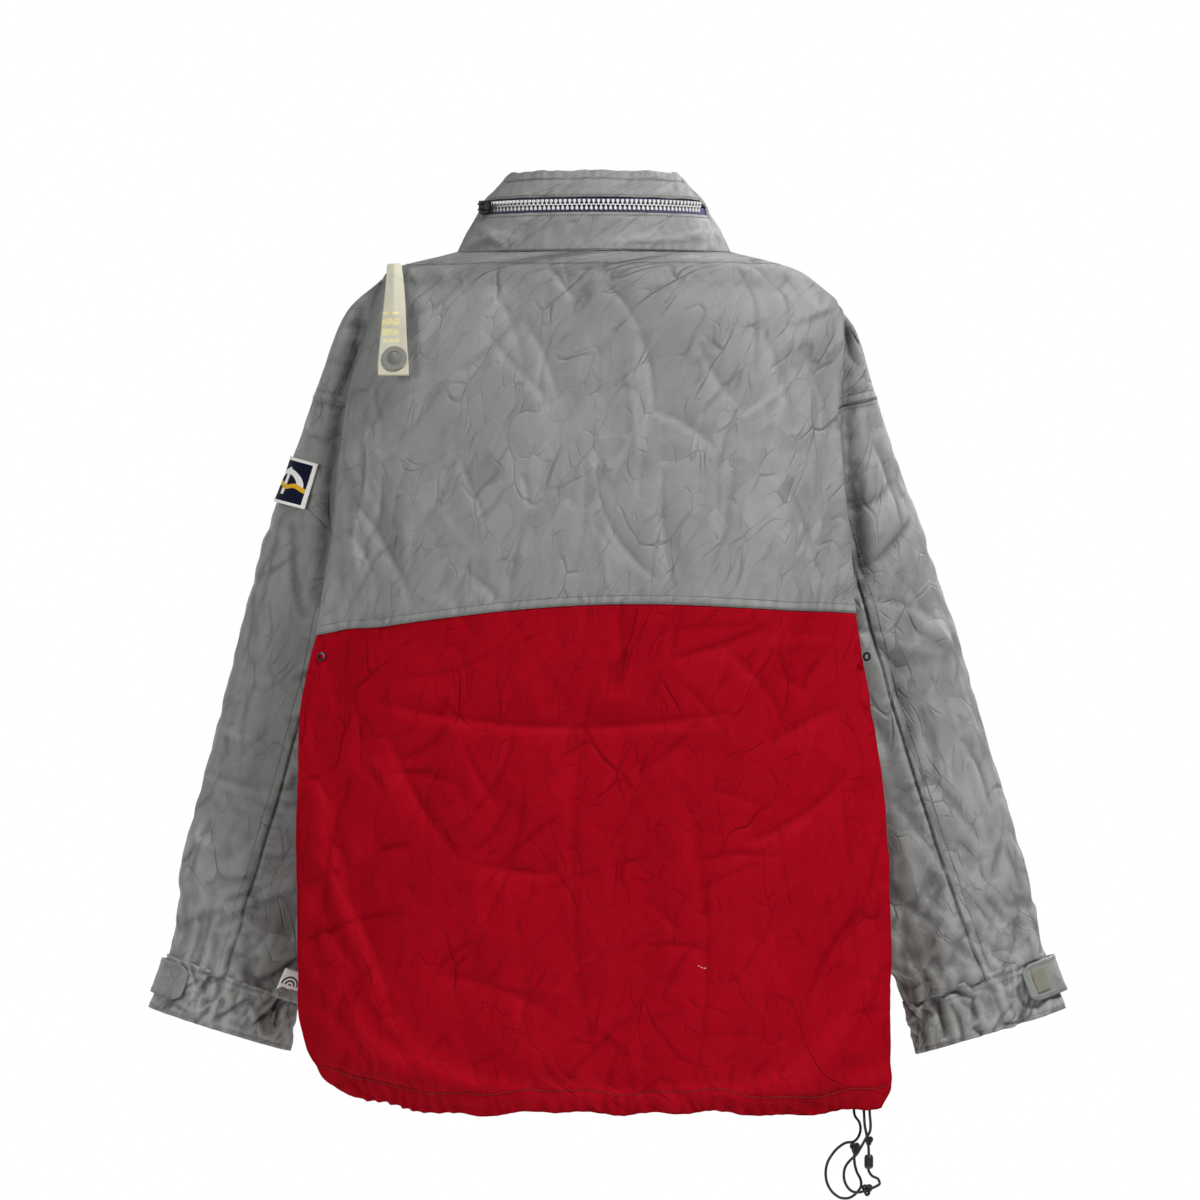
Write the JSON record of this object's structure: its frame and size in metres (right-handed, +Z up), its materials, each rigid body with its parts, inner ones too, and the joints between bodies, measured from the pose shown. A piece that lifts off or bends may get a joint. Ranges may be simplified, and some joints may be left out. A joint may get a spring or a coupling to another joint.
{
  "type": "foul weather jacket",
  "caption": "Hip-length hooded sailing jacket hung by its shoulders, with a zip-up stand collar, two-colour crinkled shell, storm flap, strap-fastened cuffs and a drawcord hem.",
  "frame": {"origin": "hanger seat inside the neck, on the middle plane, below the collar's base seam", "axes": "+Z up, -Y the wearer's front, +X the wearer's left"},
  "size_m": [0.8148, 0.1774, 0.903],
  "materials": {
    "silver_shell": "crinkled silver-grey coated cotton, soft sheen",
    "red_shell": "crinkled red coated cotton, matt",
    "lining": "plain woven lining",
    "zip_tape": "woven navy zip tape",
    "zip_teeth": "moulded pale grey",
    "slider_metal": "die-cast, satin grey",
    "snap_metal": "satin",
    "eyelet_metal": "nickel-plated, worn to brass at the edges",
    "webbing": "beige woven tape",
    "badge": "embroidered twill",
    "label": "woven white label",
    "hook_loop": "olive hook-and-loop tape",
    "hook_loop_black": "black hook-and-loop tape",
    "cord": "black braided elastic",
    "stopper_plastic": "moulded black"
  },
  "bodies": {
    "torso": {"back_yoke": "silver_shell", "front_yoke_left": "silver_shell", "front_yoke_right": "silver_shell", "sleeve_head_left": "silver_shell", "sleeve_head_right": "silver_shell", "collar_lower": "silver_shell", "collar_upper": "silver_shell", "collar_facing": "silver_shell", "stowed_hood": "silver_shell", "back_lower": "red_shell", "front_lower_left": "red_shell", "front_lower_right": "red_shell", "hem_casing": "red_shell", "pocket_left": "red_shell", "pocket_right": "red_shell", "body_lining": "lining", "collar_zip_tape_lower": "zip_tape", "collar_zip_tape_upper": "zip_tape", "front_zip_tape_left": "zip_tape", "front_zip_tape_right": "zip_tape", "collar_zip_teeth_lower": "zip_teeth", "collar_zip_teeth_upper": "zip_teeth", "front_zip_teeth_left": "zip_teeth", "front_zip_teeth_right": "zip_teeth", "snap_stud_top": "snap_metal", "snap_stud_bottom": "snap_metal", "vent_eyelet_left": "eyelet_metal", "vent_eyelet_right": "eyelet_metal", "sleeve_badge": "badge", "storm_flap_loop_strip": "hook_loop_black", "hem_drawcord": "cord", "drawcord_wide_loop": "cord", "drawcord_long_loop": "cord"},
    "sleeve_left": {"sleeve_outer_left": "silver_shell", "sleeve_inner_left": "silver_shell", "cuff_left": "silver_shell", "cuff_label": "label"},
    "sleeve_right": {"sleeve_outer_right": "silver_shell", "sleeve_inner_right": "silver_shell", "cuff_right": "silver_shell"},
    "cuff_tab_left": {"cuff_tab_left": "silver_shell", "cuff_hook_patch_left": "hook_loop"},
    "cuff_tab_right": {"cuff_tab_right": "silver_shell", "cuff_hook_patch_right": "hook_loop"},
    "front_zip_slider": {"front_zip_slider": "slider_metal"},
    "front_zip_pull": {"front_zip_pull": "slider_metal"},
    "collar_zip_slider": {"collar_zip_slider": "slider_metal"},
    "collar_zip_pull": {"collar_zip_pull": "slider_metal"},
    "storm_flap": {"storm_flap": "red_shell", "storm_flap_hook_strip": "hook_loop_black", "snap_cap_top": "snap_metal", "snap_cap_bottom": "snap_metal"},
    "pocket_flap_left": {"pocket_flap_left": "red_shell"},
    "pocket_flap_right": {"pocket_flap_right": "red_shell"},
    "shoulder_strap": {"shoulder_strap": "webbing", "strap_eyelet": "eyelet_metal"},
    "hanging_loop": {"hanging_loop": "zip_tape"},
    "cord_stopper": {"cord_stopper": "stopper_plastic"}
  },
  "joints": [
    {"name": "sleeve_lift_left", "type": "hinge", "parent": "torso", "child": "sleeve_left", "pos_m": [0.222, -0.052, -0.26], "axis": [0, -1, 0], "range_deg": [0, 30]},
    {"name": "sleeve_lift_right", "type": "hinge", "parent": "torso", "child": "sleeve_right", "pos_m": [-0.224, -0.052, -0.26], "axis": [0, 1, 0], "range_deg": [0, 30]},
    {"name": "cuff_tab_left_peel", "type": "hinge", "parent": "sleeve_left", "child": "cuff_tab_left", "pos_m": [0.36338, -0.03413, -0.62993], "axis": [-0.3113, 0, 0.9503], "range_deg": [0, 100]},
    {"name": "cuff_tab_right_peel", "type": "hinge", "parent": "sleeve_right", "child": "cuff_tab_right", "pos_m": [-0.38244, -0.03618, -0.62999], "axis": [-0.3215, 0, -0.9469], "range_deg": [0, 100]},
    {"name": "front_zip_run", "type": "slide", "parent": "torso", "child": "front_zip_slider", "axis": [0, 0, -1], "range_m": [0, 0.775]},
    {"name": "front_pull_swing", "type": "hinge", "parent": "front_zip_slider", "child": "front_zip_pull", "pos_m": [0, -0.0686, 0.066], "axis": [-1, 0, 0], "range_deg": [0, 150]},
    {"name": "collar_zip_run", "type": "hinge", "parent": "torso", "child": "collar_zip_slider", "pos_m": [0, -0.05833, 0.056], "axis": [0, 0, 1], "range_deg": [0, 109]},
    {"name": "collar_pull_swing", "type": "hinge", "parent": "collar_zip_slider", "child": "collar_zip_pull", "pos_m": [0.09972, 0.01114, 0.056], "axis": [0, 0, -1], "range_deg": [0, 150]},
    {"name": "storm_flap_open", "type": "hinge", "parent": "torso", "child": "storm_flap", "pos_m": [0.029, -0.0619, -0.349], "axis": [0, 0, 1], "range_deg": [0, 100]},
    {"name": "pocket_flap_left_lift", "type": "hinge", "parent": "torso", "child": "pocket_flap_left", "pos_m": [0.10873, -0.04338, -0.481], "axis": [-0.9574, -0.2889, 0], "range_deg": [0, 90]},
    {"name": "pocket_flap_right_lift", "type": "hinge", "parent": "torso", "child": "pocket_flap_right", "pos_m": [-0.10873, -0.04338, -0.481], "axis": [-0.9574, 0.2889, 0], "range_deg": [0, 90]},
    {"name": "shoulder_strap_swing", "type": "hinge", "parent": "torso", "child": "shoulder_strap", "pos_m": [0.174, 0.0095, 0.0127], "axis": [1, 0, 0], "range_deg": [0, 120]},
    {"name": "hanging_loop_swing", "type": "hinge", "parent": "torso", "child": "hanging_loop", "pos_m": [0, 0.0384, 0.036], "axis": [-1, 0, 0], "range_deg": [0, 120]},
    {"name": "cord_stopper_slide", "type": "slide", "parent": "torso", "child": "cord_stopper", "axis": [0, 0, 1], "range_m": [-0.002, 0.005]}
  ]
}
